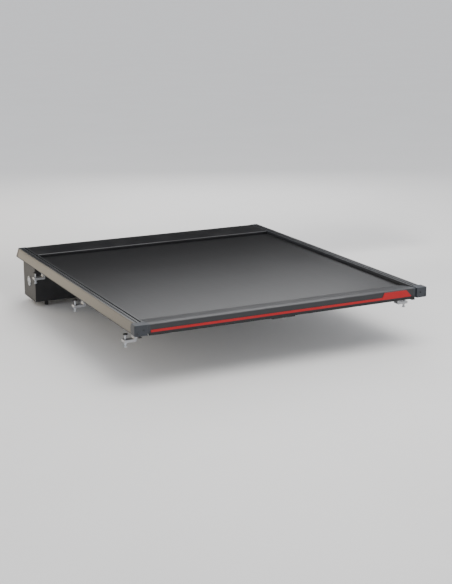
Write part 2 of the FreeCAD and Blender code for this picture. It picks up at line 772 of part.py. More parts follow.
def cam_nut():
    """Nut that holds the cam on the stud."""
    nut = hexagon("z", 0, latch_y, cam_high, cam_high + 5.0, 13.0)
    return nut.cut(hole("z", 0, latch_y, cam_high, cam_high + 5.0, stud_radius + running_gap))


rod_inner = cam_start - 7.0
inner_guide = 120.0
guide_width = 14.0
tongue_length = 36.0
tongue_tip = bar_half + shoe_thickness - shoe_gap
outer_guide = tongue_tip - tongue_length - latch_travel - guide_width
spring_end = outer_guide - guide_width / 2
spring_start = spring_end - spring_length
collar_radius = 7.0
collar_length = 4.0


def latch_rod():
    """Right latch rod: flat end with the cam pin, round rod with a spring collar, flat tongue."""
    rear, front = latch_y - tongue_width / 2, latch_y + tongue_width / 2
    tongue_start = tongue_tip - tongue_length
    flat = block((rod_inner, rod_inner + 38.0), (rear, front), (flat_low, flat_low + flat_thickness))
    pin = round_bar("z", cam_start, latch_y, cam_low + 0.4, flat_low, cam_pin_radius)
    rod = round_bar("x", latch_y, latch_z, rod_inner + 30.0, tongue_start + 4.0, rod_radius)
    collar = round_bar("x", latch_y, latch_z, spring_start - collar_length, spring_start, collar_radius)
    tongue = prism("z", latch_z - tongue_height / 2, latch_z + tongue_height / 2,
                   [(tongue_start, rear), (tongue_tip, rear, 3.0), (tongue_tip, front, 3.0),
                    (tongue_start, front)])
    return flat.fuse([pin, rod, collar, tongue]).removeSplitter()


def rod_guide(centre):
    """Moulded bridge on the bar's lips with a bore for the rod."""
    rear, front = bar_rear + bar_wall, bar_wall_front - bar_wall
    lip_top = bar_bottom + bar_wall
    foot = bar_bottom + 0.5
    first, last = rear + bar_lip + 0.5, front - bar_lip - 0.5
    section = [(rear + 1.0, lip_top), (first, lip_top), (first, foot), (last, foot), (last, lip_top),
               (front - 1.0, lip_top), (front - 1.0, lip_top + 9.0), (rear + 1.0, lip_top + 9.0)]
    low, high = centre - guide_width / 2, centre + guide_width / 2
    bridge = prism("x", low, high, section)
    return bridge.cut(hole("x", latch_y, latch_z, low, high, rod_radius + running_gap))


spring_wire = 0.6
spring_turns = 8


def latch_spring():
    """Right return spring, from the rod's collar to the outer guide, as one ring for each coil."""
    mean = rod_radius + spring_wire + 0.9
    pitch = spring_length / spring_turns
    coils = []
    for turn in range(spring_turns):
        centre = Vector(spring_start + (turn + 0.5) * pitch, latch_y, latch_z)
        coils.append(Part.makeTorus(mean, spring_wire, centre, Vector(1, 0, 0)))
    return coils


# ---------------------------------------------------------------- canister

boss_set = 5.0
port_rear = canister_rear + sheet + boss_set
port_front = canister_front - sheet - boss_set
port_floor = -canister_floor + sheet + boss_set
shell_ports = [(port_rear, -24.0), (port_rear, port_floor), (port_front, port_floor), (port_front, 6.0)]
drain_radius = 9.5
drain_neck = 11.0
drain_bore = 6.5
drain_length = 25.0
drain_x = plate_inner - 60.0
drain_y = canister_rear + sheet + 32.0
rear_wall_top = -6.0


def canister_shell():
    """Folded sheet trough that holds the roll, with screw ports at its corners."""
    rear, front, low = canister_rear, canister_front, -canister_floor
    flange = 14.0
    top = rail_height - lid_thickness
    section = [(rear, low, 6.0), (front, low, 6.0), (front, top), (front - flange, top),
               (front - flange, top - sheet), (front - sheet, top - sheet),
               (front - sheet, low + sheet, 4.0), (rear + sheet, low + sheet, 4.0),
               (rear + sheet, rear_wall_top), (rear, rear_wall_top)]
    shell = prism("x", -plate_inner, plate_inner, section)
    bosses = [round_bar("x", a, b, -plate_inner, plate_inner, port_radius + port_wall)
              for a, b in shell_ports]
    shell = shell.fuse(bosses).removeSplitter()
    for a, b in shell_ports:
        shell = shell.cut(hole("x", a, b, -plate_inner, plate_inner, port_radius))
    for x in (-drain_x, drain_x):
        shell = shell.cut(hole("z", x, drain_y, low, low + sheet, drain_neck + running_gap))
    notch = block((rail_inner - 2.0, plate_inner + 1), (front - flange - 1, front + 1),
                  (channel_high - 1, top + 1))
    for side in both([notch]):
        shell = shell.cut(side)
    return shell


lid_half = rail_inner - lid_side_gap
bracket_stations = [canister_rear + 75.0, canister_front - 40.0]
bracket_length = 24.0
bracket_sheet = 3.0
bracket_step = rail_inner - 10.0
bracket_inner = bracket_step - 24.0
bracket_low = channel_high - 3.5 - bracket_sheet
bracket_screw_x = bracket_inner + 9.0
bracket_screw_z = bracket_low - 9.5
lid_underside = rail_height - lid_thickness
wiper_slot = (canister_rear + 2.6, canister_rear + 4.6)


def canister_lid():
    """Extruded lid with a rounded rear lip and a slot for the wiper."""
    rear, top, low = canister_rear, rail_height, lid_underside
    lid = prism("x", -lid_half, lid_half,
                [(rear, top, 4.0), (rear, top - lip_height, 3.0),
                 (rear + lip_depth, top - lip_height, 1.0), (rear + lip_depth, low, 2.0),
                 (canister_front, low), (canister_front, top, 1.0)])
    slot = block((-lid_half - 1, lid_half + 1), wiper_slot,
                 (top - lip_height - 1, top - lip_height + 4.0))
    lid = lid.cut(slot)
    for x, y in lid_screw_places():
        boss = round_bar("z", x, y, low - 6.0, low, 5.0, port_radius)
        lid = lid.fuse(boss)
    return lid.removeSplitter()


def lid_wiper():
    """Rubber blade under the lid's lip that wipes the curtain."""
    low = skin_top + body_gap
    foot = rail_height - lip_height
    a, b = wiper_slot
    return prism("x", -lid_half + 1.0, lid_half - 1.0,
                 [(a + 0.1, foot + 3.8), (b - 0.1, foot + 3.8), (b - 0.1, foot), (b - 0.5, low, 0.3),
                  (a + 0.5, low, 0.3), (a + 0.1, foot)])


def lid_screw_places():
    """One screw for each lid bracket, on the right and on the left."""
    return [(side * bracket_screw_x, y) for side in (1, -1) for y in bracket_stations]


def lid_bracket(station):
    """Z-shaped bracket from the right end plate up to the lid."""
    seat = lid_underside - 6.0
    bracket = prism("y", station - bracket_length / 2, station + bracket_length / 2,
                    [(plate_inner, bracket_low), (plate_inner, bracket_low - 16.0),
                     (plate_inner - bracket_sheet, bracket_low - 16.0),
                     (plate_inner - bracket_sheet, bracket_low - bracket_sheet),
                     (bracket_step - bracket_sheet, bracket_low - bracket_sheet),
                     (bracket_step - bracket_sheet, seat - bracket_sheet),
                     (bracket_inner, seat - bracket_sheet), (bracket_inner, seat), (bracket_step, seat),
                     (bracket_step, bracket_low)])
    radius = cap_screw_radius + running_gap
    up = hole("z", bracket_screw_x, station, seat - bracket_sheet, seat, radius)
    out = hole("x", station, bracket_screw_z, plate_inner - bracket_sheet, plate_inner, radius)
    return bracket.cut(up).cut(out)


def lid_screws():
    """Screws up through the lid brackets and out into the end plates, right side."""
    seat = lid_underside - 6.0 - bracket_sheet
    up = [small_screw("z", bracket_screw_x, y, seat, -1, 8.0) for y in bracket_stations]
    out = [small_screw("x", y, bracket_screw_z, plate_inner - bracket_sheet, -1, bracket_sheet + 4.0)
           for y in bracket_stations]
    return up + out


bush_wall = 3.0
roller_pin_radius = 5.0
sunk_head = 2.6


def end_plate():
    """Moulded right end of the canister: bearings, screw holes and the bolts to the rail."""
    low, high = plate_inner, plate_outer
    top = channel_high - body_gap
    mouth = canister_rear + 45.0
    plate = prism("x", low, high,
                  [(canister_rear, -canister_floor, 6.0), (canister_front, -canister_floor, 6.0),
                   (canister_front, top, 3.0), (mouth, top, 3.0), (mouth, slat_bottom - 0.5, 2.0),
                   (canister_rear, slat_bottom - 0.5, 3.0)])
    small = cap_screw_radius + running_gap
    holes = [(roller_y, roller_z, roller_pin_radius + bush_wall), (drum_y, drum_z, shaft_radius + bush_wall)]
    holes += [(a, b, small) for a, b in shell_ports]
    holes += [(a, b, canister_bolt_radius + running_gap) for a, b in canister_bolts]
    holes += [(a, bracket_screw_z, small) for a in bracket_stations]
    for a, b, radius in holes:
        plate = plate.cut(hole("x", a, b, low, high, radius))
    for a, b in shell_ports:
        plate = plate.cut(round_bar("x", a, b, high - sunk_head, high + 1, cap_screw_head + body_gap))
    return plate


def canister_screws():
    """Screws from the right end plate into the shell's ports, heads sunk in the plate."""
    return [small_screw("x", a, b, plate_outer - sunk_head, 1, 20.0) for a, b in shell_ports]


def rail_bolts():
    """Bolts that hang the canister's right end on the rail."""
    return [screw("x", a, b, plate_inner, -1, plate_outer - plate_inner + rail_wall + 8.0,
                  canister_bolt_radius, 5.0, 3.0) for a, b in canister_bolts]


def rail_nuts():
    """Nuts of those bolts, inside the rail's outer hollow."""
    nuts = []
    for a, b in canister_bolts:
        nut = hexagon("x", a, b, seat_inner, seat_inner + 5.0, 10.0)
        nuts.append(nut.cut(round_bar("x", a, b, seat_inner - 1, seat_inner + 6,
                                      canister_bolt_radius + running_gap)))
    return nuts


def axle_bushes():
    """Plain bushes in the right end plate for the roller pin and the spring shaft."""
    low, high = plate_inner, plate_outer
    return [round_bar("x", roller_y, roller_z, low, high, roller_pin_radius + bush_wall,
                      roller_pin_radius + running_gap),
            round_bar("x", drum_y, drum_z, low, high, shaft_radius + bush_wall,
                      shaft_radius + running_gap)]


def drain_spout(x):
    """Drain spout: a flange inside the canister, a neck through its floor and a spigot for the hose."""
    floor = -canister_floor + sheet
    end = -canister_floor - drain_length
    flange = round_bar("z", x, drain_y, floor, floor + 2.0, drain_neck + 4.5)
    neck = round_bar("z", x, drain_y, -canister_floor, floor, drain_neck)
    spigot = round_bar("z", x, drain_y, end, -canister_floor, drain_radius)
    spout = flange.fuse([neck, spigot]).removeSplitter()
    return spout.cut(hole("z", x, drain_y, end, floor + 2.0, drain_bore))


def bulkhead_seal():
    """Rubber strip between the canister and the front of the bed."""
    front = canister_front
    end = overall_length
    top = rail_height
    return prism("x", -lid_half, lid_half,
                 [(front, top - 1.0, 1.0), (end, top - 3.0, 2.5), (end, top - 20.0, 2.5),
                  (front, top - 22.0, 1.0)])


# ---------------------------------------------------------------- rollers

roller_half = plate_inner - 24.0
roller_wall = 2.0


def guide_roller():
    """Tube that the curtain turns over."""
    return round_bar("x", roller_y, roller_z, -roller_half, roller_half, roller_radius,
                     roller_radius - roller_wall)


def roller_plug():
    """Right end plug and pin of the guide roller."""
    plug = round_bar("x", roller_y, roller_z, roller_half - 18.0, roller_half,
                     roller_radius - roller_wall)
    pin = round_bar("x", roller_y, roller_z, roller_half, plate_outer - 1.0, roller_pin_radius)
    shoulder = round_bar("x", roller_y, roller_z, roller_half, plate_inner - 0.5, roller_pin_radius + 2.5)
    return plug.fuse([pin, shoulder]).removeSplitter()


def drum_tube():
    """Tube that the curtain rolls up on."""
    return round_bar("x", drum_y, drum_z, -drum_half, drum_half, drum_radius, drum_radius - drum_wall)


hub_length = 20.0


def drum_hub():
    """Right end hub of the drum, turning on the spring shaft."""
    low, high = drum_half - hub_length, drum_half
    hub = round_bar("x", drum_y, drum_z, low, high, drum_radius - drum_wall, shaft_radius + running_gap)
    rim = round_bar("x", drum_y, drum_z, high, high + 4.0, drum_radius, shaft_radius + running_gap)
    return hub.fuse(rim).removeSplitter()


def leader_retainer():
    """Strip that clamps the end of the leader on the drum."""
    roll_in, drum_in = roller_radius + body_gap, drum_radius + body_gap
    turn = tangent_angle(drum_y - roller_y, drum_z - roller_z, roll_in, drum_in) - leader_wrap
    strip = block((-leader_half, leader_half), (drum_radius, drum_radius + 3.0), (-12.0, -1.5))
    strip.rotate(Vector(0, 0, 0), Vector(1, 0, 0), math.degrees(turn))
    strip.translate(Vector(0, drum_y, drum_z))
    drum = round_bar("x", drum_y, drum_z, -leader_half - 1, leader_half + 1, drum_radius)
    return strip.cut(drum)


shaft_square = 9.0
plate_tension_thickness = 2.5


def spring_shaft():
    """Fixed shaft through the drum, squared at its left end for the tension plate."""
    shaft = round_bar("x", drum_y, drum_z, -plate_outer, plate_outer - 0.5, shaft_radius)
    end = block((-plate_outer - plate_tension_thickness, -plate_outer),
                (drum_y - shaft_square / 2, drum_y + shaft_square / 2),
                (drum_z - shaft_square / 2, drum_z + shaft_square / 2))
    return shaft.fuse(end).removeSplitter()


tension_screw_circle = 18.0


def tension_screw_places():
    """Three screws round the tension plate."""
    places = []
    for step in range(3):
        turn = math.radians(90 + 120 * step)
        places.append((drum_y + tension_screw_circle * math.cos(turn),
                       drum_z + tension_screw_circle * math.sin(turn)))
    return places


def left_end_plate():
    """Mirror of the right end plate, with pilot holes for the tension plate's screws."""
    plate = other_side(end_plate())
    for a, b in tension_screw_places():
        plate = plate.cut(hole("x", a, b, -plate_outer, -plate_inner, cap_screw_radius + running_gap))
    return plate


def tension_screws():
    """Pan-head screws of the tension plate."""
    return [screw("x", a, b, -plate_outer - plate_tension_thickness, -1, 7.0, cap_screw_radius, 3.2, 1.6)
            for a, b in tension_screw_places()]


def tension_plate():
    """Plate on the left end that stops the shaft and sets the spring's tension."""
    low, high = -plate_outer - plate_tension_thickness, -plate_outer
    plate = round_bar("x", drum_y, drum_z, low, high, 25.0)
    half = shaft_square / 2 + running_gap
    plate = plate.cut(block((low - 1, high + 1), (drum_y - half, drum_y + half),
                            (drum_z - half, drum_z + half)))
    for a, b in tension_screw_places():
        plate = plate.cut(hole("x", a, b, low, high, cap_screw_radius + running_gap))
    return plate


spring_coil_wire = 4.0
spring_coils = 40


def torsion_spring():
    """Close-wound counterbalance spring on the shaft, as one ribbed sleeve."""
    inner = shaft_radius + 6.0
    outer = inner + spring_coil_wire
    left = -spring_coils * spring_coil_wire / 2
    edges = [Part.makeLine(Vector(left, inner, 0), Vector(-left, inner, 0)),
             Part.makeLine(Vector(left, inner, 0), Vector(left, outer - 1.2, 0)),
             Part.makeLine(Vector(-left, inner, 0), Vector(-left, outer - 1.2, 0))]
    for coil in range(spring_coils):
        start = left + coil * spring_coil_wire
        crest = Vector(start + spring_coil_wire / 2, outer, 0)
        edges.append(Part.Arc(Vector(start, outer - 1.2, 0), crest,
                              Vector(start + spring_coil_wire, outer - 1.2, 0)).toShape())
    face = Part.Face(Part.Wire(Part.__sortEdges__(edges)))
    spring = face.revolve(Vector(0, 0, 0), Vector(1, 0, 0), 360)
    spring.translate(Vector(0, drum_y, drum_z))
    return spring


# ---------------------------------------------------------------- build

os.makedirs("parts", exist_ok=True)

right_rail = rail()
save("right_rail", right_rail)
save("left_rail", other_side(right_rail))
save("right_rail_seal", rail_seal())
save("left_rail_seal", other_side(rail_seal()))
save("right_guide_liner", guide_liner())
save("left_guide_liner", other_side(guide_liner()))
save("strikers", both([striker(station) for station in latch_stations]))
save("right_rear_cap", rear_cap())
save("left_rear_cap", other_side(rear_cap()))
save("front_caps", both([front_cap()]))
save("cap_screws", both(cap_screws()))

save("bed_clamps", both([clamp_body(station) for station in clamp_stations]))
save("clamp_bolts", both([clamp_bolt(station) for station in clamp_stations]))
save("clamp_pads", both([clamp_pad(station) for station in clamp_stations]))
save("clamp_nuts", both([clamp_nut(station) for station in clamp_stations]))

save("curtain_slats", [slat(index) for index in range(slat_count)])
save("slat_guides", both([slat_guide(index) for index in range(slat_count)]))
save("curtain_skin", curtain_skin())
save("leader_bar", leader_bar())
save("leader_sheet", leader())

save("tail_bar", tail_bar())
save("right_bar_shoe", bar_shoe())
save("left_bar_shoe", other_side(bar_shoe()))
save("shoe_screws", both(shoe_screws()))
save("accent_strip", accent_strip())
save("label_plate", label_plate())
save("tail_seal", tail_seal())

save("latch_housing", latch_housing())
save("housing_screws", housing_screws())
save("release_handle", release_handle())
save("lock_cylinder", lock_cylinder())
save("latch_cam", latch_cam())
save("cam_nut", cam_nut())
save("right_latch_rod", latch_rod())
save("left_latch_rod", other_side(latch_rod()))
save("rod_guides", both([rod_guide(inner_guide), rod_guide(outer_guide)]))
save("right_latch_spring", latch_spring())
save("left_latch_spring", [other_side(coil) for coil in latch_spring()])

save("canister_shell", canister_shell())
save("canister_lid", canister_lid())
save("lid_wiper", lid_wiper())
save("lid_brackets", both([lid_bracket(station) for station in bracket_stations]))
save("lid_screws", both(lid_screws()))
save("right_end_plate", end_plate())
save("left_end_plate", left_end_plate())
save("canister_screws", both(canister_screws()) + tension_screws())
save("rail_bolts", both(rail_bolts()))
save("rail_nuts", both(rail_nuts()))
save("axle_bushes", both(axle_bushes()))
save("drain_spouts", [drain_spout(-drain_x), drain_spout(drain_x)])
save("bulkhead_seal", bulkhead_seal())

save("guide_roller", guide_roller())
save("roller_plugs", both([roller_plug()]))
save("drum_tube", drum_tube())
save("drum_hubs", both([drum_hub()]))
save("leader_retainer", leader_retainer())
save("spring_shaft", spring_shaft())
save("tension_plate", tension_plate())
save("torsion_spring", torsion_spring())
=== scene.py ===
import math

import bmesh
import bpy
import numpy as np
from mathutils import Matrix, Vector


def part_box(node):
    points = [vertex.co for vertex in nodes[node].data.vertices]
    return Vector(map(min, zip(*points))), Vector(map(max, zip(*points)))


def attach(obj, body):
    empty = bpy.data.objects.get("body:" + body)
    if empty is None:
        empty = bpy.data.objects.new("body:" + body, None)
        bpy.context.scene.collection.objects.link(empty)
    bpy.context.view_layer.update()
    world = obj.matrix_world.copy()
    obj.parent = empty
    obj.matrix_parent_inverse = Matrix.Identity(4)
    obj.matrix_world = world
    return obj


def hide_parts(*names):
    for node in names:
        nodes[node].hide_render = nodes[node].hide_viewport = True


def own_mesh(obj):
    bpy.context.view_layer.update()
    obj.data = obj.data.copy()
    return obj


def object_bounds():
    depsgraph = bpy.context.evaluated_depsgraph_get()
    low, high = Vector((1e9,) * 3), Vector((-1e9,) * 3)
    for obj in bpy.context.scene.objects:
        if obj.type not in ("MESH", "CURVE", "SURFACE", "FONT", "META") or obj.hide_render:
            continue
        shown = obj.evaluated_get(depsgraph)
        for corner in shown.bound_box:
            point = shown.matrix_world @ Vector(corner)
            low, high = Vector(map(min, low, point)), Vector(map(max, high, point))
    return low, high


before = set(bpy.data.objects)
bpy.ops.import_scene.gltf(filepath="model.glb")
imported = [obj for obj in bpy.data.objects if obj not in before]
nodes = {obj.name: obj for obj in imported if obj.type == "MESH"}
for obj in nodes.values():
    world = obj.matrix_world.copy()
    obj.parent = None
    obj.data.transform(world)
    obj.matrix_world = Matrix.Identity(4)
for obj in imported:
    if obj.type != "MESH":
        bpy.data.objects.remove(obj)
cad_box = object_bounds()


# ---------------------------------------------------------------- side rails
# The two side rails carry everything else. Each is an extruded aluminium length with a channel for the
# curtain on its inner side, a T-slot and a plain groove along its top, and a leaning outer wall with a
# fine shadow line. They are powder coated satin black after cutting.

class Socket:
    """A node's output. Sums, differences, products, quotients and powers of sockets add Math nodes."""

    def __init__(self, finish, output):
        self.finish = finish
        self.output = output

    def __add__(self, other):
        return self.finish.node("Math", {"operation": "ADD"}, {0: self, 1: other})

    def __sub__(self, other):
        return self.finish.node("Math", {"operation": "SUBTRACT"}, {0: self, 1: other})

    def __rsub__(self, other):
        return self.finish.node("Math", {"operation": "SUBTRACT"}, {0: other, 1: self})

    def __mul__(self, other):
        return self.finish.node("Math", {"operation": "MULTIPLY"}, {0: self, 1: other})

    def __truediv__(self, other):
        return self.finish.node("Math", {"operation": "DIVIDE"}, {0: self, 1: other})

    def __pow__(self, other):
        return self.finish.node("Math", {"operation": "POWER"}, {0: self, 1: other})

    def __mod__(self, other):
        return self.finish.node("Math", {"operation": "FLOORED_MODULO"}, {0: self, 1: other})

    def __abs__(self):
        return self.finish.node("Math", {"operation": "ABSOLUTE"}, {0: self})

    __radd__ = __add__
    __rmul__ = __mul__


class Finish:
    """One material: a Principled shader with its plain numbers, and the ways to build what feeds it."""

    def __init__(self, name, **numbers):
        self.material = bpy.data.materials.new(name)
        self.material.use_nodes = True
        self.tree = self.material.node_tree
        self.shader = self.tree.nodes["Principled BSDF"]
        for socket, value in numbers.items():
            self.shader.inputs[socket.replace("_", " ")].default_value = value

    def node(self, kind, settings, sockets, give=0):
        """Makes one node: its settings first, then the values or links of its sockets."""
        made = self.tree.nodes.new("ShaderNode" + kind)
        for name, value in settings.items():
            setattr(made, name, value)
        for name, value in sockets.items():
            self.feed(made.inputs[name], value)
        return Socket(self, made.outputs[give])

    def feed(self, entry, value):
        if isinstance(value, Socket):
            self.tree.links.new(value.output, entry)
        elif entry.type == "RGBA":
            entry.default_value = (*value, 1.0)
        else:
            entry.default_value = value

    def place(self, stretch=(1, 1, 1)):
        """Object coordinates in metres, with each axis multiplied by its stretch."""
        where = self.node("TexCoord", {}, {}, "Object")
        return self.node("VectorMath", {"operation": "MULTIPLY"}, {0: where, 1: stretch})

    def axes(self):
        """The x, y and z of a point on the piece."""
        split = self.tree.nodes.new("ShaderNodeSeparateXYZ")
        self.feed(split.inputs[0], self.place())
        return [Socket(self, output) for output in split.outputs]

    def noise(self, size, stretch=(1, 1, 1), detail=2.0):
        """Soft noise from 0 to 1 whose blotches are about size metres across."""
        return self.node("TexNoise", {}, {"Vector": self.place(stretch), "Scale": 1 / size,
                                          "Detail": detail, "Roughness": 0.55})

    def grain(self, size):
        """Packed round cells about size metres across, 0 in their middles."""
        return self.node("TexVoronoi", {}, {"Vector": self.place(), "Scale": 1 / size})

    def fade(self, value, start, end):
        """0 below start, 1 above end, and smooth in between."""
        return self.node("MapRange", {"interpolation_type": "SMOOTHSTEP"},
                         {"Value": value, "From Min": start, "From Max": end})

    def mix(self, share, first, second):
        """first where share is 0, second where it is 1."""
        return self.node("Mix", {"data_type": "RGBA"}, {0: share, 6: first, 7: second}, 2)

    def relief(self, height, depth, strength=1.0):
        """Bumps of that depth in metres where height goes from 0 to 1."""
        bump = self.node("Bump", {}, {"Height": height, "Distance": depth, "Strength": strength})
        self.feed(self.shader.inputs["Normal"], bump)

    def dress(self, *names):
        """Puts the finish on these CAD nodes."""
        for name in names:
            nodes[name].data.materials.clear()
            nodes[name].data.materials.append(self.material)


def powder_coat(name, colour, along, edges):
    """Satin powder coat on an extrusion: orange peel, die lines that run along one axis, light dust on
    what faces up, and a lighter, smoother line within 1.5 mm of each edge (x or y, z): a painted edge
    highlight, broken into streaks of wear."""
    coat = Finish(name, IOR=1.5, Coat_Roughness=0.3)
    x, y, z = coat.axes()
    run = [1.0, 1.0, 1.0]
    run["xyz".index(along)] = 0.01
    peel = coat.noise(0.0016, detail=1.0)
    lines = coat.noise(0.0022, run, 3.0)
    cloud = coat.noise(0.11, detail=4.0)
    speck = coat.fade(coat.noise(0.004, detail=3.0), 0.66, 0.74)
    normal = coat.node("NewGeometry", {}, {}, "Normal")
    up = coat.fade(coat.node("SeparateXYZ", {}, {0: normal}, 2), 0.6, 0.95)
    dust = up * coat.fade(cloud, 0.42, 0.75)
    edge_highlight_and_wear = 0.0
    # Each listed edge gets a lighter, smoother line: painted edge highlight, broken by the die lines into
    # wear streaks.
    for across, height in edges:
        side = abs(x) - across if along == "y" else y - across
        near = (side * side + (z - height) * (z - height)) ** 0.5
        edge_highlight_and_wear = edge_highlight_and_wear + (1 - coat.fade(near, 0.0006, 0.0024))
    edge_highlight_and_wear = edge_highlight_and_wear * coat.fade(lines + coat.noise(0.03, run) * 0.6, 0.62, 0.95)
    tone = coat.mix(cloud, colour, tuple(1.15 * c for c in colour))
    tone = coat.mix(dust * 0.025 + speck * up * 0.03, tone, (0.30, 0.28, 0.25))
    # Lightens the coat towards grey along the listed edges: painted highlight with wear.
    tone = coat.mix(edge_highlight_and_wear * 0.35, tone, (0.16, 0.165, 0.17))
    coat.feed(coat.shader.inputs["Base Color"], tone)
    coat.feed(coat.shader.inputs["Roughness"], 0.36 + dust * 0.05 + lines * 0.06 - edge_highlight_and_wear * 0.08)
    coat.relief(peel * 0.7 + lines * 0.3, 0.00006, 0.8)
    return coat


# The rails' top edges and the T-slot and groove mouths get the lighter line: painted edge highlight with
# wear.
rail_coat = powder_coat("satin rail coat", (0.030, 0.031, 0.033), "y",
                        [(0.690, 0.045), (0.650, 0.045), (0.657, 0.045), (0.665, 0.045)])
rail_coat.dress("right_rail", "left_rail")


# ---------------------------------------------------------------- rail seals
# A strip of cellular rubber under each rail's foot keeps water out of the bed. It is extruded with five
# small ribs that bite on the rim, and glued to the rail before it is clamped down.

def rounded(corners, radius, steps=5):
    """A closed outline with each corner rounded: the quadratic curve (1-t)^2 A + 2t(1-t) P + t^2 B, where
    A and B lie on the corner's two sides, one radius from the corner P or half a side if that is less."""
    point = np.array(corners, float)
    before = np.roll(point, 1, 0) - point
    after = np.roll(point, -1, 0) - point
    reach = np.broadcast_to(np.array(radius, float), (len(point),))[:, None]
    length_before = np.linalg.norm(before, axis=1, keepdims=True)
    length_after = np.linalg.norm(after, axis=1, keepdims=True)
    start = point + before / length_before * np.minimum(reach, length_before / 2)
    end = point + after / length_after * np.minimum(reach, length_after / 2)
    t = np.linspace(0, 1, steps)[None, :, None]
    curve = (1 - t) ** 2 * start[:, None] + 2 * t * (1 - t) * point[:, None] + t ** 2 * end[:, None]
    return curve.reshape(-1, 2)


def circle(middle, radius, count, first=0.0, last=2 * math.pi, closed=True):
    """Points middle + radius (cos a, sin a) with a spread evenly from first to last."""
    angle = np.linspace(first, last, count, endpoint=not closed)
    return np.stack([middle[0] + radius * np.cos(angle), middle[1] + radius * np.sin(angle)], 1)


def carried(outline, stations, axis):
    """An outline carried straight along x or y: row r is the outline at station r."""
    outline = np.asarray(outline)
    rows = np.asarray(stations)[:, None] + np.zeros(len(outline))
    first = rows * 0 + outline[:, 0]
    second = rows * 0 + outline[:, 1]
    return np.stack([rows, first, second] if axis == "x" else [first, rows, second], 2)


def walled(outline, bore, low, high):
    """A straight tube along x whose wall lies between two outlines of the same count: its rows go out
    along the outline and back along the bore, and join up."""
    out = carried(outline, [low, high], "x")
    back = carried(bore, [high, low], "x")
    return np.concatenate([out, back])


def piece(name, finish, body, replaced, patches, runs=None):
    """One mesh of closed patches (grid, joined): grid[row, column] are points, columns always join round,
    and joined says if the last row joins the first; if not, flat faces close both ends. The mesh has its
    place in it, its faces point outwards, it rides on the body and stands for the replaced CAD node."""
    points, faces, start = [], [], 0
    for grid, joined in patches:
        rows, columns = grid.shape[:2]
        index = start + np.arange(rows * columns).reshape(rows, columns)
        upper = np.roll(index, -1, 0) if joined else index[1:]
        lower = index if joined else index[:-1]
        cells = [lower, np.roll(lower, -1, 1), np.roll(upper, -1, 1), upper]
        faces += np.stack(cells, 2).reshape(-1, 4).tolist()
        if not joined:
            faces += [index[0].tolist(), index[-1].tolist()]
        points.append(grid.reshape(-1, 3))
        start += rows * columns
    mesh = bpy.data.meshes.new(name)
    mesh.from_pydata(np.concatenate(points), [], faces)
    whole = bmesh.new()
    whole.from_mesh(mesh)
    bmesh.ops.recalc_face_normals(whole, faces=whole.faces)
    whole.to_mesh(mesh)
    whole.free()
    if runs is not None:
        mesh.attributes.new("run", "FLOAT_VECTOR", "POINT").data.foreach_set("vector", runs.ravel())
    mesh.shade_smooth()
    mesh.set_sharp_from_angle(angle=math.radians(38))
    mesh.materials.append(finish.material)
    made = bpy.data.objects.new(name, mesh)
    bpy.context.scene.collection.objects.link(made)
    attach(made, body)
    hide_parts(replaced)
    return made


def rubber(name, grain, depth, colour=(0.011, 0.011, 0.012)):
    """Black rubber: pores of one grain, a grey bloom in patches, and dry roughness."""
    made = Finish(name, IOR=1.5)
    bloom = made.fade(made.noise(0.03, detail=5.0), 0.45, 0.8)
    pores = made.grain(grain)
    tone = made.mix(bloom * 0.5, colour, (0.035, 0.035, 0.036))
    made.feed(made.shader.inputs["Base Color"], made.mix(pores * 0.35, tone, (0.004, 0.004, 0.004)))
    made.feed(made.shader.inputs["Roughness"], 0.62 + bloom * 0.2 + pores * 0.08)
    made.relief(pores * 0.7 + made.noise(grain * 4) * 0.3, depth)
    return made


foam_rubber = rubber("cellular rubber", 0.0009, 0.00015)
rib_count, rib_depth = 5, 0.0008
for name in ("right_rail_seal", "left_rail_seal"):
    low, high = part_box(name)
    across = np.linspace(0, 1, 61)
    under = np.stack([across, rib_depth * np.abs(np.sin(rib_count * math.pi * across)) ** 0.6], 1)
    over = np.array([[1.0, high.z], [0.0, high.z]])
    outline = np.concatenate([under, over])
    outline[:, 0] = low.x + (high.x - low.x) * outline[:, 0]
    piece(name + "_ribbed", foam_rubber, "root", name,
          [(carried(outline, np.linspace(low.y, high.y, 9), "y"), False)])


# ---------------------------------------------------------------- curtain channel
# Each channel is lined with a black low-friction strip that the slats' runners slide in. It is a C-shaped
# plastic extrusion, slid in from the end, and gets grey rubbing lines where the runners pass.

liner = Finish("low-friction liner", IOR=1.49)
rubbed = liner.noise(0.0012, (1, 0.006, 1), 3.0)
cloud = liner.noise(0.05, detail=4.0)
liner.feed(liner.shader.inputs["Base Color"],
           liner.mix(liner.fade(rubbed, 0.45, 0.75) * 0.5, (0.016, 0.016, 0.017), (0.055, 0.055, 0.054)))
liner.feed(liner.shader.inputs["Roughness"], 0.34 + rubbed * 0.2 + cloud * 0.1)
liner.relief(rubbed, 0.00008)
liner.dress("right_guide_liner", "left_guide_liner", "axle_bushes", "roller_plugs", "drum_hubs")


def plated(name, warmth, darkness=1.0):
    """Zinc plate on steel: bluish and straw-coloured clouds, fine drawn lines and dull spots. Darkness
    scales every colour, and a low value is black zinc."""
    made = Finish(name, Metallic=1.0)
    cloud = made.noise(0.012, detail=4.0)
    drawn = made.noise(0.0007, (1, 1, 0.08), 2.0)
    spot = made.fade(made.noise(0.003, detail=3.0), 0.60, 0.72)
    cold = tuple(darkness * c for c in (0.42, 0.44, 0.47))
    straw = tuple(darkness * c for c in (0.46, 0.42, 0.32))
    tone = made.mix(made.fade(cloud, 0.4, 0.7) * warmth, cold, straw)
    tone = made.mix(spot * 0.4, tone, tuple(darkness * c for c in (0.25, 0.25, 0.26)))
    made.feed(made.shader.inputs["Base Color"], tone)
    made.feed(made.shader.inputs["Roughness"], 0.26 + spot * 0.2 + drawn * 0.12)
    made.relief(drawn * 0.6 + cloud * 0.4, 0.00005)
    return made


# Bolts, nuts, most screws and the folded steel parts are bright zinc plated. The keepers behind the latch
# holes are cut from zinc-plated strip. The screws in the rail caps and bar shoes are black.

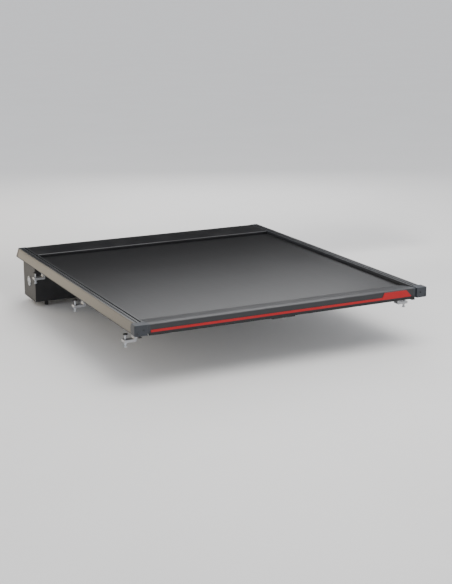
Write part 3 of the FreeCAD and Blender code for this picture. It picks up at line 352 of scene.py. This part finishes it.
zinc = plated("bright zinc", 0.45)
zinc.dress("strikers", "clamp_bolts", "clamp_nuts", "lid_brackets", "lid_screws",
           "canister_screws", "rail_bolts", "rail_nuts", "housing_screws",
           "latch_cam", "cam_nut", "tension_plate")
black_zinc = plated("black zinc screws", 0.2, 0.12)
black_zinc.dress("cap_screws", "shoe_screws")
drawn_steel = plated("drawn and plated rod", 0.25, 0.85)
drawn_steel.dress("right_latch_rod", "left_latch_rod", "spring_shaft")


# ---------------------------------------------------------------- rail caps
# The rails' ends are closed by moulded blocks with a spark-eroded grain, a little proud of the foot and
# slightly bluer than the coat. They plug into the extrusion and two screws hold each of them.

def moulded(name, colour, size, depth, roughness):
    """Moulded plastic: a grain of packed cells whose low borders are darkened as painted shade, slow flow
    marks, and a faint sheen on the cells' tops.
    """
    made = Finish(name, IOR=1.48)
    cells = made.grain(size)
    fine = made.noise(size * 0.6, detail=2.0)
    flow = made.noise(0.04, (1, 0.5, 1), 4.0)
    tone = made.mix(flow, tuple(0.85 * c for c in colour), tuple(1.25 * c for c in colour))
    # Darkens the low borders between the grain's cells: painted shade.
    tone = made.mix(made.fade(cells, 0.5, 0.9) * 0.4, tone, tuple(0.5 * c for c in colour))
    made.feed(made.shader.inputs["Base Color"], tone)
    made.feed(made.shader.inputs["Roughness"], roughness + cells * 0.12 + flow * 0.06)
    made.relief(1 - cells * 0.75 - fine * 0.25, depth)
    return made


cap_plastic = moulded("grained cap plastic", (0.022, 0.026, 0.033), 0.0011, 0.00012, 0.40)
cap_plastic.dress("right_rear_cap", "left_rear_cap", "front_caps", "right_bar_shoe", "left_bar_shoe")


# ---------------------------------------------------------------- clamps
# Six die-cast clamps hook over the rails' inner ledge and reach under the rim. A bolt in each pushes a
# swivel pad up against the rim, and a nut under the arm locks it.

cast_alloy = Finish("die-cast clamp", Metallic=1.0)
skin_grain = cast_alloy.noise(0.0013, detail=4.0)
flow = cast_alloy.noise(0.018, detail=5.0)
pit = cast_alloy.fade(cast_alloy.noise(0.0028, detail=2.0), 0.68, 0.76)
tone = cast_alloy.mix(flow, (0.33, 0.335, 0.35), (0.47, 0.475, 0.48))
cast_alloy.feed(cast_alloy.shader.inputs["Base Color"], cast_alloy.mix(pit, tone, (0.20, 0.20, 0.21)))
cast_alloy.feed(cast_alloy.shader.inputs["Roughness"], 0.44 + skin_grain * 0.2)
cast_alloy.relief(skin_grain - pit * 0.6, 0.0002)
cast_alloy.dress("bed_clamps")

black_nylon = moulded("glass-filled nylon", (0.012, 0.012, 0.013), 0.0016, 0.00009, 0.44)
black_nylon.dress("clamp_pads", "right_end_plate", "left_end_plate", "latch_housing", "rod_guides",
                  "release_handle", "drain_spouts")


# ---------------------------------------------------------------- curtain slats
# Hollow aluminium slats make the curtain carry weight. Each has a socket on its rear edge that turns on the
# bead of the slat behind it, or of the bar. They are used as extruded, with die lines along their length.

bar_front_wall = 0.120
skin_rear = bar_front_wall + 0.001
slat_count = 31
pitch, first_bead, slat_middle, slat_half = 0.041, 0.131, 0.024, 0.654
socket_out, socket_in, bead, neck = 0.004, 0.0028, 0.0024, 0.0008
slat_low, slat_top = 0.020, 0.028


def rolls_up(made):
    """The curtain goes onto the drum as the bar slides forward; here the piece only gets its own copy of
    its mesh."""
    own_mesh(made)


def mill_finish(name, along, colour):
    """Bare extruded aluminium: sharp die lines along one axis and dull handling clouds."""
    made = Finish(name, Metallic=1.0)
    run = [1.0, 1.0, 1.0]
    run["xyz".index(along)] = 0.004
    lines = made.noise(0.0006, run, 3.0)
    broad = made.noise(0.006, run, 2.0)
    cloud = made.noise(0.05, detail=4.0)
    tone = made.mix(broad * 0.6 + cloud * 0.4, tuple(0.8 * c for c in colour), colour)
    made.feed(made.shader.inputs["Base Color"], tone)
    made.feed(made.shader.inputs["Roughness"], 0.28 + lines * 0.16 + cloud * 0.12)
    made.relief(lines * 0.7 + broad * 0.3, 0.00004)
    return made


slat_alloy = mill_finish("mill-finish slat", "x", (0.66, 0.67, 0.69))
socket_play, joint_room = 0.0003, 0.0015


def socket_ring(centre):
    """A ring open towards the rear: out round one radius and back round the smaller one."""
    gap = 0.42
    out = circle((centre, slat_middle), socket_out, 15, gap - math.pi, math.pi - gap, False)
    back = circle((centre, slat_middle), socket_in, 15, math.pi - gap, gap - math.pi, False)
    return np.concatenate([out, back])


def neck_and_bead(root, centre):
    """A round bead on a thin neck."""
    spread = math.asin(neck / bead)
    ball = circle((centre, slat_middle), bead, 14, spread - math.pi, math.pi - spread, False)
    return np.concatenate([ball, [[root, slat_middle + neck], [root, slat_middle - neck]]])


def slat_span(number):
    """The bead that a slat turns on, and the slat's rear and front."""
    start = first_bead + number * pitch
    return start, start + socket_in + socket_play, start + pitch - socket_out - joint_room


def hollow_slat(number):
    """A box with one wall round its hollow, the socket on its rear edge and the bead on its front."""
    start, low, high = slat_span(number)
    wall = 0.001
    box = rounded([(low, slat_low), (high, slat_low), (high, slat_top), (low, slat_top)], 0.0008, 4)
    inner = rounded([(low + 0.0016, slat_low + wall), (high - wall, slat_low + wall),
                     (high - wall, slat_top - wall), (low + 0.0016, slat_top - wall)], 0.0005, 4)
    ends = [-slat_half, slat_half]
    return [(walled(box, inner, *ends), True),
            (carried(socket_ring(start), ends, "x"), False),
            (carried(neck_and_bead(high - 0.0004, start + pitch), ends, "x"), False)]


slats = [patch for number in range(slat_count) for patch in hollow_slat(number)]
rolls_up(piece("hollow_slats", slat_alloy, "root", "curtain_slats", slats))


# ---------------------------------------------------------------- slat runners
# A nylon runner is plugged into each end of each slat and runs in the lined channel. Its corners are
# rounded so that it enters the liner without catching.

runner_half, runner_taper, plug_length = 0.6615, 0.0006, 0.015


def runner(number, sign):
    """A rounded block that narrows at both ends, and its plug in the slat."""
    start, low, high = slat_span(number)
    outline = rounded([(low, slat_low), (high, slat_low), (high, 0.029), (low, 0.029)], 0.0015, 3)
    middle = outline.mean(0)
    stations = [slat_half, slat_half + runner_taper, runner_half - runner_taper, runner_half]
    grid = carried(outline, sign * np.array(stations), "x")
    share = np.array([0.96, 1.0, 1.0, 0.96])[:, None]
    grid[:, :, 1] = middle[0] + (grid[:, :, 1] - middle[0]) * (1 - (1 - share) * 0.4)
    grid[:, :, 2] = middle[1] + (grid[:, :, 2] - middle[1]) * share
    inner = rounded([(low + 0.002, slat_low + 0.0011), (high - 0.0014, slat_low + 0.0011),
                     (high - 0.0014, slat_top - 0.0011), (low + 0.002, slat_top - 0.0011)], 0.0004, 2)
    return [(grid, False),
            (carried(inner, sign * np.array([slat_half - plug_length, slat_half]), "x"), False)]


runners = [patch for number in range(slat_count) for sign in (1, -1) for patch in runner(number, sign)]
rolls_up(piece("slat_runners", black_nylon, "root", "slat_guides", runners))


# ---------------------------------------------------------------- curtain skin
# One smooth satin laminate sheet is bonded over all the slats, so that no joint shows from above. It has a
# very fine emboss, a shallow dip over each joint that can be felt, and painted shade a little darker along
# each dip.

skin = Finish("satin curtain laminate", IOR=1.5, Coat_Roughness=0.35)
y = skin.axes()[1]
emboss = skin.grain(0.0008)
weave = skin.noise(0.0018, (1, 0.6, 1), 2.0)
cloud = skin.noise(0.22, detail=5.0)
streak = skin.noise(0.02, (1.0, 0.05, 1.0), 3.0)
joint_dip_and_shade = 1 - skin.fade(abs((y - first_bead) % pitch - pitch / 2) * -1 + pitch / 2, 0.0004, 0.0022)
speck = skin.fade(skin.noise(0.0035, detail=3.0), 0.68, 0.74)
tone = skin.mix(cloud * 0.7 + streak * 0.3, (0.009, 0.009, 0.0095), (0.013, 0.013, 0.0135))
tone = skin.mix(speck * 0.05, tone, (0.25, 0.24, 0.22))
# Darkens the skin a little along each joint's dip: painted shade.
skin.feed(skin.shader.inputs["Base Color"], skin.mix(joint_dip_and_shade * 0.03, tone, (0.005, 0.005, 0.005)))
skin.feed(skin.shader.inputs["Roughness"], 0.32 + cloud * 0.05 + streak * 0.03 + speck * 0.05)
skin.relief(1 - emboss * 0.5 + weave * 0.35 + joint_dip_and_shade * -0.1, 0.00003, 0.5)

skin_half, skin_top, skin_front = 0.653, 0.029, 1.411
edge_width, edge_roll = 0.003, 0.0004
dip_depth, dip_width = 0.00001, 0.0010
across = np.concatenate([[-skin_half, -skin_half + 0.0006, -skin_half + edge_width],
                         np.linspace(-0.64, 0.64, 33),
                         [skin_half - edge_width, skin_half - 0.0006, skin_half]])
roll = edge_roll * np.clip((np.abs(across) - skin_half + edge_width) / edge_width, 0, 1) ** 2
upper = np.stack([across, skin_top - roll], 1)
lower = np.stack([across[::-1], np.full(len(across), slat_top)], 1)
along = first_bead + pitch * (np.arange(slat_count)[:, None] + np.array([-0.04, -0.02, 0.0, 0.02, 0.04, 0.5]))
along = np.concatenate([[skin_rear], along.ravel(), [skin_front]])
sheet_grid = carried(np.concatenate([upper, lower]), along, "y")
dip = np.exp(-(((along - first_bead + pitch / 2) % pitch - pitch / 2) / dip_width) ** 2)
sheet_grid[:, :len(across), 2] -= dip_depth * dip[:, None]
rolls_up(piece("smooth_skin", skin, "root", "curtain_skin", [(sheet_grid, False)]))


# ---------------------------------------------------------------- leader
# The curtain's last bead turns in the socket of a short bar, and a woven nylon leader clipped in that bar
# goes over the guide roller and round the drum, where a strip clamps its end.

last_bead, bar_end, leader_half = first_bead + slat_count * pitch, 1.411, 0.630
bar_start = last_bead + socket_in + socket_play
clip = rounded([(bar_start, slat_low), (bar_end, slat_low), (bar_end, slat_top), (bar_start, slat_top)],
               0.0009, 4)
rolls_up(piece("leader_clip_bar", slat_alloy, "root", "leader_bar",
               [(carried(clip, [-leader_half, leader_half], "x"), False),
                (carried(socket_ring(last_bead), [-leader_half, leader_half], "x"), False)]))

webbing = Finish("woven nylon leader", IOR=1.5, Sheen_Weight=0.25, Sheen_Roughness=0.5)
run = webbing.node("Attribute", {"attribute_name": "run"}, {}, "Vector")
yarn = 0.0011
warp = webbing.node("SeparateXYZ", {}, {0: run}, 0) / yarn
weft = webbing.node("SeparateXYZ", {}, {0: run}, 1) / yarn
over = webbing.node("Math", {"operation": "FLOOR"}, {0: warp}) + webbing.node(
    "Math", {"operation": "FLOOR"}, {0: weft})
over = abs(over) % 2
round_warp = abs(webbing.node("Math", {"operation": "SINE"}, {0: warp * math.pi}))
round_weft = abs(webbing.node("Math", {"operation": "SINE"}, {0: weft * math.pi}))
yarn_relief_and_shade = over * round_warp + (1 - over) * round_weft
fuzz = webbing.noise(0.0004, detail=3.0)
# Darker between the yarns and lighter on their crowns: painted shade over the weave's relief.
tone = webbing.mix(yarn_relief_and_shade, (0.006, 0.006, 0.007), (0.036, 0.036, 0.040))
webbing.feed(webbing.shader.inputs["Base Color"], webbing.mix(fuzz * 0.3, tone, (0.05, 0.05, 0.055)))
webbing.feed(webbing.shader.inputs["Roughness"], 0.72 + fuzz * 0.15)
webbing.relief(yarn_relief_and_shade * 0.8 + fuzz * 0.2, 0.00035)

roller, roller_round = np.array([1.421, 0.005]), 0.0153
drum, drum_round = np.array([1.4905, -0.108]), 0.0303
gap = drum - roller
leave = math.atan2(gap[1], gap[0]) + math.acos((roller_round - drum_round) / np.linalg.norm(gap))
wrap = math.radians(300)


def leader_line(lift):
    """The leader's line at a height above the tubes: level to the roller's top, down round the roller to
    the line that touches both tubes, along that line, and back round the drum."""
    top = circle(roller, roller_round + lift, 14, math.pi / 2, leave, False)
    turned = circle(drum, drum_round + lift, 60, leave, leave - wrap, False)
    level = np.stack([np.linspace(1.408, 1.419, 5), np.full(5, top[0, 1])], 1)
    straight = top[-1] + np.linspace(0, 1, 14)[1:-1, None] * (turned[0] - top[-1])
    return np.concatenate([level, top, straight, turned])


inside, outside = leader_line(0.0001), leader_line(0.0012)
width = np.linspace(-leader_half, leader_half, 31)
line_length = np.append(0, np.cumsum(np.linalg.norm(np.diff(outside, axis=0), axis=1)))


def ribbon(line):
    """A flat ribbon: each point of the line carried straight across the width."""
    rows = np.broadcast_to(line[:, None, :], (len(line), len(width), 2))
    return np.concatenate([np.broadcast_to(width[None, :, None], (len(line), len(width), 1)), rows], 2)


grid = np.concatenate([ribbon(outside), ribbon(inside)[:, ::-1]], 1)
flat_x = np.concatenate([width, width[::-1]])
runs = np.stack([np.broadcast_to(flat_x, (len(outside), len(flat_x))),
                 np.broadcast_to(line_length[:, None], (len(outside), len(flat_x))),
                 np.zeros((len(outside), len(flat_x)))], 2)
leader = piece("woven_leader", webbing, "root", "leader_sheet", [(grid, False)], runs)


# ---------------------------------------------------------------- tail bar
# The pull bar at the tail is one extrusion, level at the rear and sloping down to the curtain, with a bead
# for the first slat. Moulded shoes close its ends and slide in the rails.

# The bar's rear top edge and its nose get the lighter line: painted edge highlight with wear.
bar_coat = powder_coat("satin bar coat", (0.011, 0.0115, 0.0135), "x",
                       [(0.0075, 0.0425), (0.128, 0.0302)])
bar_coat.dress("tail_bar")

satin_red = Finish("satin red film", IOR=1.5, Specular_IOR_Level=0.25, Coat_Roughness=0.18)
pearl = satin_red.noise(0.0005, detail=1.0)
film = satin_red.noise(0.02, (0.2, 1, 1), 3.0)
satin_red.feed(satin_red.shader.inputs["Base Color"],
               satin_red.mix(film * 0.6 + pearl * 0.4, (0.30, 0.003, 0.006), (0.44, 0.006, 0.010)))
satin_red.feed(satin_red.shader.inputs["Roughness"], 0.30 + pearl * 0.1)
satin_red.feed(satin_red.shader.inputs["Coat Weight"], 0.05 + film * 0.1)
satin_red.relief(film * 0.6 + pearl * 0.4, 0.00003)
satin_red.dress("accent_strip", "label_plate")


# ---------------------------------------------------------------- tail seal
# A hollow rubber seal is pushed on the bar's rear lip and closes the gap to the tailgate. Its rear face
# has fine ribs, and its bulb flattens when the tailgate is shut.

low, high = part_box("tail_seal")
seal_bore, seal_middle, rib_pitch, rib_half_depth = 0.0022, 0.0086, 0.0015, 0.00022
section = rounded([(0.0045, 0.009), (0.0045, -0.0032), (0.0075, low.z), (0.0115, -0.0048), (0.0170, 0.0012),
                   (0.0170, 0.004), (0.0070, 0.004), (0.0070, 0.009)],
                  [0.0008, 0.0030, 0.0035, 0.0040, 0.0012, 0.0003, 0.0003, 0.0006], 6)
fraction = np.append(0, np.cumsum(np.linalg.norm(np.diff(section, axis=0, append=section[:1]), axis=1)))
fraction /= fraction[-1]
share = np.linspace(0, 1, 96, endpoint=False)
closed = np.append(section, section[:1], 0)
section = np.stack([np.interp(share, fraction, closed[:, 0]), np.interp(share, fraction, closed[:, 1])], 1)
ribbed = np.where((section[:, 0] < 0.0050) & (section[:, 1] < 0.008), 1.0, 0.0)
section[:, 0] += ribbed * rib_half_depth * (1 - np.cos(2 * math.pi * section[:, 1] / rib_pitch))
turn = np.arctan2(section[:, 1], section[:, 0] - seal_middle)
bore = np.stack([seal_middle + seal_bore * np.cos(turn), seal_bore * np.sin(turn)], 1)
seal_rubber = rubber("solid seal rubber", 0.0006, 0.00006, (0.008, 0.008, 0.009))
piece("ribbed_tail_seal", seal_rubber, "tail_bar", "tail_seal",
      [(walled(section, bore, low.x, high.x), True)])


# ---------------------------------------------------------------- latch
# A handle under the bar turns a cam whose spiral slots push two rods out into the rails. A coil spring on
# each rod draws it back in, and a lock in the handle keeps it closed.

latch_line, rod_height, spring_root = 0.060, 0.01075, 0.575

lock_steel = Finish("lock barrel", Metallic=1.0)
x, y, z = lock_steel.axes()
from_axis = (x * x + (y - latch_line) * (y - latch_line)) ** 0.5
rings = lock_steel.node("Math", {"operation": "SINE"}, {0: from_axis * (2 * math.pi / 0.0005)})
dirt = lock_steel.noise(0.004, detail=4.0)
lock_steel.feed(lock_steel.shader.inputs["Base Color"],
                lock_steel.mix(lock_steel.fade(dirt, 0.45, 0.8), (0.60, 0.60, 0.61), (0.30, 0.29, 0.28)))
lock_steel.feed(lock_steel.shader.inputs["Roughness"], 0.20 + dirt * 0.2)
lock_steel.relief(rings * 0.5 + 0.5, 0.00003)
lock_steel.dress("lock_cylinder")

spring_steel = Finish("oiled spring steel", Metallic=1.0)
temper = spring_steel.noise(0.010, detail=3.0)
drawn = spring_steel.noise(0.0005, (0.3, 1, 1), 2.0)
spring_steel.feed(spring_steel.shader.inputs["Base Color"],
                  spring_steel.mix(spring_steel.fade(temper, 0.4, 0.7),
                                   (0.16, 0.17, 0.20), (0.24, 0.20, 0.17)))
spring_steel.feed(spring_steel.shader.inputs["Roughness"], 0.26 + drawn * 0.2)
spring_steel.relief(drawn, 0.00003)


def coil(start, length, middle, radius, wire, turns, steps, sides):
    """A round wire wound on a straight axis along x: the wire's middle is start + length t along x and
    radius (cos a, sin a) round the axis, a = 2 pi turns t; its section is a circle of the wire's radius
    in the plane of the radius and x, which is square to the wire but for the small pitch angle."""
    t = np.linspace(0, 1, turns * steps + 1)[:, None]
    a = 2 * math.pi * turns * t
    b = np.linspace(0, 2 * math.pi, sides, endpoint=False)[None, :]
    out = radius + wire * np.cos(b)
    return np.stack([start + length * t + wire * np.sin(b),
                     middle[0] + out * np.cos(a), middle[1] + out * np.sin(a)], 2)


low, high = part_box("right_latch_spring")
latch_wire = 0.0006
for side, sign in (("right", 1), ("left", -1)):
    wound = coil(low.x + latch_wire, high.x - low.x - 2 * latch_wire, (latch_line, rod_height),
                 0.0055, latch_wire, 9, 18, 6)
    wound[:, :, 0] *= sign
    spring = piece(side + "_return_spring", spring_steel, "tail_bar",
                   side + "_latch_spring", [(wound, False)])
    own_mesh(spring)


# ---------------------------------------------------------------- canister
# The canister at the cab end holds the rolled curtain. It is a folded sheet trough between two moulded end
# plates, closed by an extruded lid whose rounded rear lip carries a rubber wiper.

shell_coat = Finish("textured shell coat", IOR=1.5)
wrinkle = shell_coat.grain(0.0022)
fine = shell_coat.noise(0.0012, detail=3.0)
cloud = shell_coat.noise(0.09, detail=4.0)
shell_coat.feed(shell_coat.shader.inputs["Base Color"],
                shell_coat.mix(cloud, (0.011, 0.011, 0.012), (0.018, 0.018, 0.019)))
shell_coat.feed(shell_coat.shader.inputs["Roughness"], 0.46 + cloud * 0.1 + fine * 0.08)
shell_coat.relief(1 - wrinkle * 0.7 + fine * 0.3, 0.00010)
shell_coat.dress("canister_shell")

# The lid's rounded rear lip gets the lighter line: painted edge highlight with wear.
lid_coat = powder_coat("satin lid coat", (0.008, 0.008, 0.009), "x", [(1.398, 0.044), (1.398, 0.036)])
lid_coat.dress("canister_lid")

low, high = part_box("lid_wiper")
shoulder, tip = high.z - 0.0040, low.z + 0.003
blade = rounded([(low.y, high.z), (high.y, high.z), (high.y, shoulder), (high.y - 0.0003, tip),
                 (high.y - 0.0003, low.z), (high.y - 0.0009, low.z), (low.y + 0.0005, tip),
                 (low.y, shoulder)], 0.0005, 4)
piece("wiper_blade", seal_rubber, "root", "lid_wiper",
      [(carried(blade, [low.x, high.x], "x"), False)])

low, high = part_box("bulkhead_seal")
bulge = rounded([(low.y, high.z), (low.y, low.z), (high.y, low.z + 0.003), (high.y, high.z - 0.003)],
                [0.0010, 0.0010, 0.0060, 0.0060], 8)
piece("bulkhead_strip", foam_rubber, "root", "bulkhead_seal",
      [(carried(bulge, np.linspace(low.x, high.x, 13), "x"), False)])


# ---------------------------------------------------------------- rollers
# The curtain turns over a small tube and rolls up on a larger one. A coil spring on the fixed shaft inside
# the larger tube winds up as the curtain is pulled out, and helps to bring it back.

tube_alloy = mill_finish("drawn tube", "x", (0.60, 0.61, 0.62))
tube_alloy.dress("guide_roller", "drum_tube", "leader_retainer")

spring_length = 0.156
wound = coil(-spring_length / 2, spring_length, drum, 0.015, 0.00195, 39, 20, 8)
piece("counterbalance_spring", spring_steel, "root", "torsion_spring", [(wound, False)])


# ---------------------------------------------------------------- studio
# A pale floor under the object, a pale room, and soft lamps: one wide and high over the tail, a warm panel
# far on the left that the rail's outer wall mirrors, a panel that lights the curtain's tail end, and a dark
# card behind the canister that only shows in reflections, as the cab would.

def flat_panel(name, corners, finish):
    """A flat four-cornered panel that isn't part of the object."""
    mesh = bpy.data.meshes.new(name)
    mesh.from_pydata(corners, [], [(0, 1, 2, 3)])
    mesh.materials.append(finish.material)
    made = bpy.data.objects.new(name, mesh)
    bpy.context.scene.collection.objects.link(made)
    return made


floor_height, left, right, near, far = cad_box[0][2], -60, 60, -60, 90
floor_finish = Finish("pale floor", Roughness=0.65)
floor_finish.feed(floor_finish.shader.inputs["Base Color"],
                  floor_finish.mix(floor_finish.noise(0.6, detail=4.0),
                                   (0.78, 0.77, 0.75), (0.83, 0.82, 0.80)))
flat_panel("studio_floor", [(left, near, floor_height), (right, near, floor_height),
                            (right, far, floor_height), (left, far, floor_height)], floor_finish)

card_finish = Finish("dark card", Base_Color=(0.012, 0.011, 0.011, 1), Roughness=0.9)
card = flat_panel("cab_card", [(-0.85, 1.62, 0.05), (1.9, 1.62, 0.05),
                               (1.9, 1.95, 0.75), (-0.85, 1.95, 0.75)], card_finish)
card.visible_camera = card.visible_diffuse = False

room = bpy.data.worlds.new("pale room")
room.use_nodes = True
room.node_tree.nodes["Background"].inputs["Color"].default_value = (0.93, 0.95, 1.0, 1)
room.node_tree.nodes["Background"].inputs["Strength"].default_value = 1.05
bpy.context.scene.world = room


def softbox(name, place, aim, size, watts, colour):
    """A square area lamp at a place, turned to its aim."""
    lamp = bpy.data.lights.new(name, "AREA")
    lamp.size = size
    lamp.energy = watts
    lamp.color = colour
    made = bpy.data.objects.new(name, lamp)
    made.location = place
    made.rotation_euler = (Vector(aim) - Vector(place)).to_track_quat("-Z", "Y").to_euler()
    made.visible_camera = False
    bpy.context.scene.collection.objects.link(made)


softbox("overhead", (0.6, -0.6, 3.4), (0, 0.8, 0), 3.0, 120, (1.0, 0.99, 0.97))
softbox("warm panel", (-2.7, 4.3, 0.5), (-0.7, 0.8, 0), 2.6, 60, (1.0, 0.80, 0.48))
softbox("sky panel", (1.7, 4.1, 1.9), (0.0, 0.2, 0), 2.4, 48, (1.0, 1.0, 1.0))

camera_place, target = Vector((-2.43, -4.24, 1.38)), Vector((0.03, 0.66, -0.055))
lens = bpy.data.cameras.new("view over the left tail corner")
lens.lens = 74.0
camera = bpy.data.objects.new("camera", lens)
camera.location = camera_place
camera.rotation_euler = (target - camera_place).to_track_quat("-Z", "Y").to_euler()
bpy.context.scene.collection.objects.link(camera)
bpy.context.scene.camera = camera
